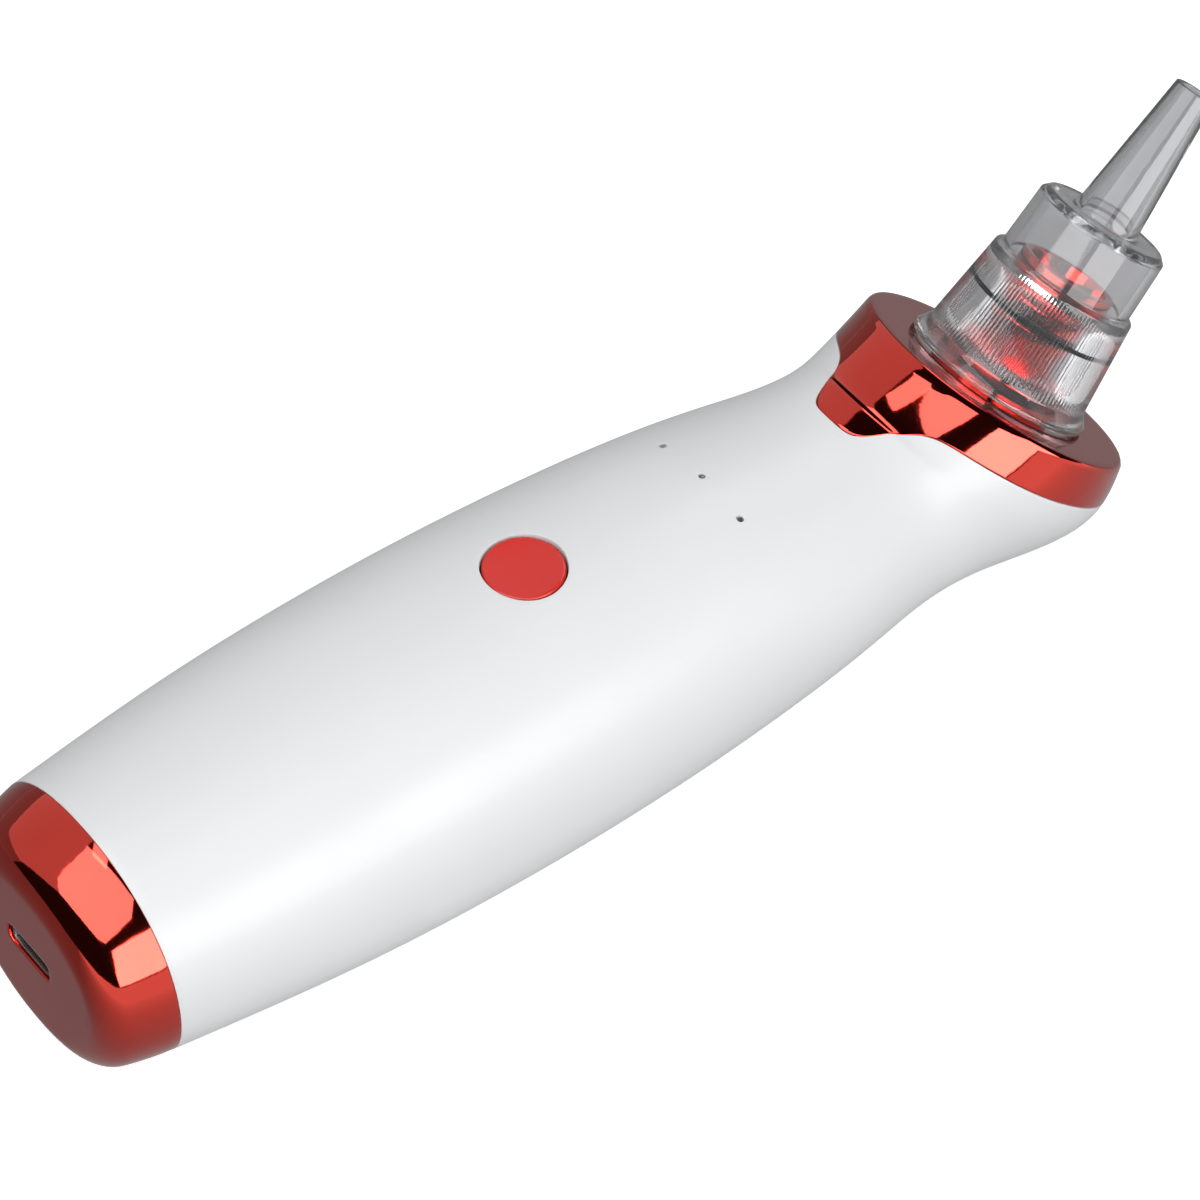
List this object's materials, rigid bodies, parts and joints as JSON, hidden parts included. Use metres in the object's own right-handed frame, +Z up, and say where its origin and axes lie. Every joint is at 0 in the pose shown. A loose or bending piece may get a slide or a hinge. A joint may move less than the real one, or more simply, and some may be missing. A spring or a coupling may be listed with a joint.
{
  "type": "pore vacuum",
  "caption": "Hand-held suction pore cleaner: smooth oval body with a push button, a red base cap and wavy red collar, and a clear lift-off suction head with a narrow nozzle on a tilted seat.",
  "frame": {"origin": "on the surface that it lies on, under the middle of its length, in its plane of symmetry", "axes": "+X from the base cap towards the suction head, +Y to the side, +Z up through the push button"},
  "size_m": [0.1696, 0.0416, 0.0566],
  "materials": {
    "gloss_white": "glossy moulded plastic",
    "red_chrome": "red mirror plating on moulded plastic",
    "black_rubber": "smooth moulded rubber",
    "clear_plastic": "clear glossy moulded plastic",
    "grey_foam": "open-cell filter foam",
    "button_red": "glossy red plastic",
    "black_plastic": "black moulded plastic",
    "white_plastic": "white moulded plastic",
    "board_green": "green solder mask on circuit board",
    "steel": "plated steel",
    "blue_wrap": "heat-shrink sleeve",
    "wire_red": "red wire insulation",
    "copper": "enamelled copper winding on laminations",
    "brass": "machined brass",
    "silicone": "translucent silicone tube"
  },
  "bodies": {
    "housing": {"front_housing": "gloss_white", "rear_cover": "gloss_white", "base_cap": "red_chrome", "head_collar": "red_chrome", "suction_boss": "red_chrome", "o_ring": "black_rubber", "tact_switch": "black_plastic", "light_pipe_left": "clear_plastic", "light_pipe_centre": "clear_plastic", "light_pipe_right": "clear_plastic", "indicator_led_left": "white_plastic", "indicator_led_centre": "white_plastic", "indicator_led_right": "white_plastic", "control_board": "board_green", "board_screw_1": "steel", "board_screw_2": "steel", "board_screw_3": "steel", "board_screw_4": "steel", "charging_board": "board_green", "usb_receptacle": "steel", "usb_tongue": "black_plastic", "battery_cell": "blue_wrap", "battery_contact": "steel", "battery_lead_red": "wire_red", "battery_lead_black": "black_plastic", "motor_can": "steel", "motor_end_cap": "black_plastic", "motor_magnet": "black_plastic", "motor_lead_red": "wire_red", "motor_lead_black": "black_plastic", "pump_crankcase": "black_plastic", "pump_diaphragm": "black_rubber", "valve_plate": "white_plastic", "pump_cover": "black_plastic", "pump_screw_1": "steel", "pump_screw_2": "steel", "pump_screw_3": "steel", "pump_screw_4": "steel", "suction_tube": "silicone"},
    "button": {"power_button": "button_red", "switch_plunger": "black_plastic"},
    "head": {"suction_head": "clear_plastic"},
    "filter": {"filter_sponge": "grey_foam"},
    "rotor": {"motor_shaft": "steel", "motor_armature": "copper", "eccentric": "brass"},
    "rod": {"connecting_rod": "white_plastic"}
  },
  "joints": [
    {"name": "button_press", "type": "slide", "parent": "housing", "child": "button", "axis": [0, 0, -1], "range_m": [0, 0.0004], "stiffness_N_per_m": 900},
    {"name": "head_pull", "type": "slide", "parent": "housing", "child": "head", "axis": [0.6547, 0, 0.7559], "range_m": [0, 0.02]},
    {"name": "filter_pull", "type": "slide", "parent": "housing", "child": "filter", "axis": [0.6547, 0, 0.7559], "range_m": [0, 0.01]},
    {"name": "rotor_spin", "type": "hinge", "parent": "housing", "child": "rotor", "pos_m": [0.0125, 0, 0.0135], "axis": [1, 0, 0], "continuous": true},
    {"name": "rod_swing", "type": "hinge", "parent": "rotor", "child": "rod", "pos_m": [0.0125, 0, 0.0147], "axis": [1, 0, 0], "continuous": true}
  ],
  "couplings": [
    {"joint": "rod_swing", "follows": "rotor_spin", "ratio": -1}
  ]
}
